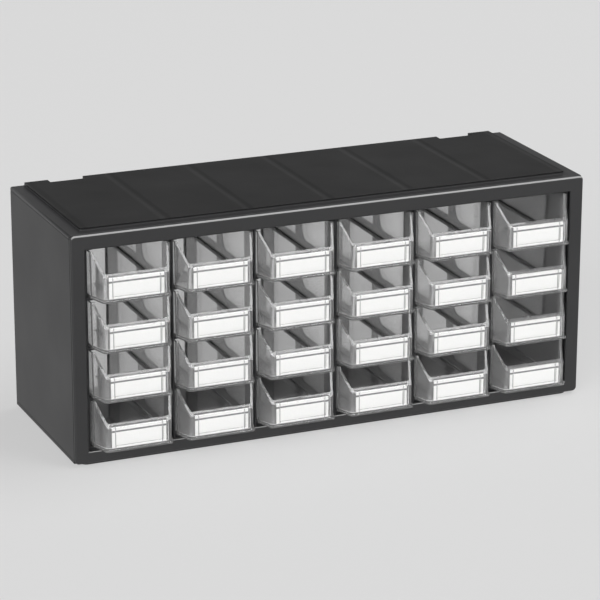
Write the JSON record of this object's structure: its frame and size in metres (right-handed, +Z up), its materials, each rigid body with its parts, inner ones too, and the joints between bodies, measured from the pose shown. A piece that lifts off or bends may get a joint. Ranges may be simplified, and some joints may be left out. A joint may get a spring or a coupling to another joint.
{
  "type": "parts bin cabinet",
  "caption": "Low, wide small-parts cabinet with an open-backed dark moulded case and rows of clear slide-out hopper drawers, each with a label card.",
  "frame": {"origin": "middle of the footprint, drawer fronts included, on the plane it stands on", "axes": "+X to the right along the width, +Y to the back, +Z up; the drawers open towards -Y"},
  "size_m": [0.374, 0.1406, 0.1622],
  "materials": {
    "case": "fine satin mould texture, black polystyrene",
    "drawer": "polished clear polystyrene",
    "label": "plain white card"
  },
  "bodies": {
    "case": {"front_frame": "case", "top_panel": "case", "base_panel": "case", "left_side_panel": "case", "right_side_panel": "case", "partition_1": "case", "partition_2": "case", "partition_3": "case", "partition_4": "case", "partition_5": "case"},
    "drawer_r1_c1": {"drawer_r1_c1": "drawer", "label_card_r1_c1": "label"},
    "drawer_r1_c2": {"drawer_r1_c2": "drawer", "label_card_r1_c2": "label"},
    "drawer_r1_c3": {"drawer_r1_c3": "drawer", "label_card_r1_c3": "label"},
    "drawer_r1_c4": {"drawer_r1_c4": "drawer", "label_card_r1_c4": "label"},
    "drawer_r1_c5": {"drawer_r1_c5": "drawer", "label_card_r1_c5": "label"},
    "drawer_r1_c6": {"drawer_r1_c6": "drawer", "label_card_r1_c6": "label"},
    "drawer_r2_c1": {"drawer_r2_c1": "drawer", "label_card_r2_c1": "label"},
    "drawer_r2_c2": {"drawer_r2_c2": "drawer", "label_card_r2_c2": "label"},
    "drawer_r2_c3": {"drawer_r2_c3": "drawer", "label_card_r2_c3": "label"},
    "drawer_r2_c4": {"drawer_r2_c4": "drawer", "label_card_r2_c4": "label"},
    "drawer_r2_c5": {"drawer_r2_c5": "drawer", "label_card_r2_c5": "label"},
    "drawer_r2_c6": {"drawer_r2_c6": "drawer", "label_card_r2_c6": "label"},
    "drawer_r3_c1": {"drawer_r3_c1": "drawer", "label_card_r3_c1": "label"},
    "drawer_r3_c2": {"drawer_r3_c2": "drawer", "label_card_r3_c2": "label"},
    "drawer_r3_c3": {"drawer_r3_c3": "drawer", "label_card_r3_c3": "label"},
    "drawer_r3_c4": {"drawer_r3_c4": "drawer", "label_card_r3_c4": "label"},
    "drawer_r3_c5": {"drawer_r3_c5": "drawer", "label_card_r3_c5": "label"},
    "drawer_r3_c6": {"drawer_r3_c6": "drawer", "label_card_r3_c6": "label"},
    "drawer_r4_c1": {"drawer_r4_c1": "drawer", "label_card_r4_c1": "label"},
    "drawer_r4_c2": {"drawer_r4_c2": "drawer", "label_card_r4_c2": "label"},
    "drawer_r4_c3": {"drawer_r4_c3": "drawer", "label_card_r4_c3": "label"},
    "drawer_r4_c4": {"drawer_r4_c4": "drawer", "label_card_r4_c4": "label"},
    "drawer_r4_c5": {"drawer_r4_c5": "drawer", "label_card_r4_c5": "label"},
    "drawer_r4_c6": {"drawer_r4_c6": "drawer", "label_card_r4_c6": "label"}
  },
  "joints": [
    {"name": "slide_r1_c1", "type": "slide", "parent": "case", "child": "drawer_r1_c1", "axis": [0, -1, 0], "range_m": [0, 0.095]},
    {"name": "slide_r1_c2", "type": "slide", "parent": "case", "child": "drawer_r1_c2", "axis": [0, -1, 0], "range_m": [0, 0.095]},
    {"name": "slide_r1_c3", "type": "slide", "parent": "case", "child": "drawer_r1_c3", "axis": [0, -1, 0], "range_m": [0, 0.095]},
    {"name": "slide_r1_c4", "type": "slide", "parent": "case", "child": "drawer_r1_c4", "axis": [0, -1, 0], "range_m": [0, 0.095]},
    {"name": "slide_r1_c5", "type": "slide", "parent": "case", "child": "drawer_r1_c5", "axis": [0, -1, 0], "range_m": [0, 0.095]},
    {"name": "slide_r1_c6", "type": "slide", "parent": "case", "child": "drawer_r1_c6", "axis": [0, -1, 0], "range_m": [0, 0.095]},
    {"name": "slide_r2_c1", "type": "slide", "parent": "case", "child": "drawer_r2_c1", "axis": [0, -1, 0], "range_m": [0, 0.095]},
    {"name": "slide_r2_c2", "type": "slide", "parent": "case", "child": "drawer_r2_c2", "axis": [0, -1, 0], "range_m": [0, 0.095]},
    {"name": "slide_r2_c3", "type": "slide", "parent": "case", "child": "drawer_r2_c3", "axis": [0, -1, 0], "range_m": [0, 0.095]},
    {"name": "slide_r2_c4", "type": "slide", "parent": "case", "child": "drawer_r2_c4", "axis": [0, -1, 0], "range_m": [0, 0.095]},
    {"name": "slide_r2_c5", "type": "slide", "parent": "case", "child": "drawer_r2_c5", "axis": [0, -1, 0], "range_m": [0, 0.095]},
    {"name": "slide_r2_c6", "type": "slide", "parent": "case", "child": "drawer_r2_c6", "axis": [0, -1, 0], "range_m": [0, 0.095]},
    {"name": "slide_r3_c1", "type": "slide", "parent": "case", "child": "drawer_r3_c1", "axis": [0, -1, 0], "range_m": [0, 0.095]},
    {"name": "slide_r3_c2", "type": "slide", "parent": "case", "child": "drawer_r3_c2", "axis": [0, -1, 0], "range_m": [0, 0.095]},
    {"name": "slide_r3_c3", "type": "slide", "parent": "case", "child": "drawer_r3_c3", "axis": [0, -1, 0], "range_m": [0, 0.095]},
    {"name": "slide_r3_c4", "type": "slide", "parent": "case", "child": "drawer_r3_c4", "axis": [0, -1, 0], "range_m": [0, 0.095]},
    {"name": "slide_r3_c5", "type": "slide", "parent": "case", "child": "drawer_r3_c5", "axis": [0, -1, 0], "range_m": [0, 0.095]},
    {"name": "slide_r3_c6", "type": "slide", "parent": "case", "child": "drawer_r3_c6", "axis": [0, -1, 0], "range_m": [0, 0.095]},
    {"name": "slide_r4_c1", "type": "slide", "parent": "case", "child": "drawer_r4_c1", "axis": [0, -1, 0], "range_m": [0, 0.095]},
    {"name": "slide_r4_c2", "type": "slide", "parent": "case", "child": "drawer_r4_c2", "axis": [0, -1, 0], "range_m": [0, 0.095]},
    {"name": "slide_r4_c3", "type": "slide", "parent": "case", "child": "drawer_r4_c3", "axis": [0, -1, 0], "range_m": [0, 0.095]},
    {"name": "slide_r4_c4", "type": "slide", "parent": "case", "child": "drawer_r4_c4", "axis": [0, -1, 0], "range_m": [0, 0.095]},
    {"name": "slide_r4_c5", "type": "slide", "parent": "case", "child": "drawer_r4_c5", "axis": [0, -1, 0], "range_m": [0, 0.095]},
    {"name": "slide_r4_c6", "type": "slide", "parent": "case", "child": "drawer_r4_c6", "axis": [0, -1, 0], "range_m": [0, 0.095]}
  ]
}
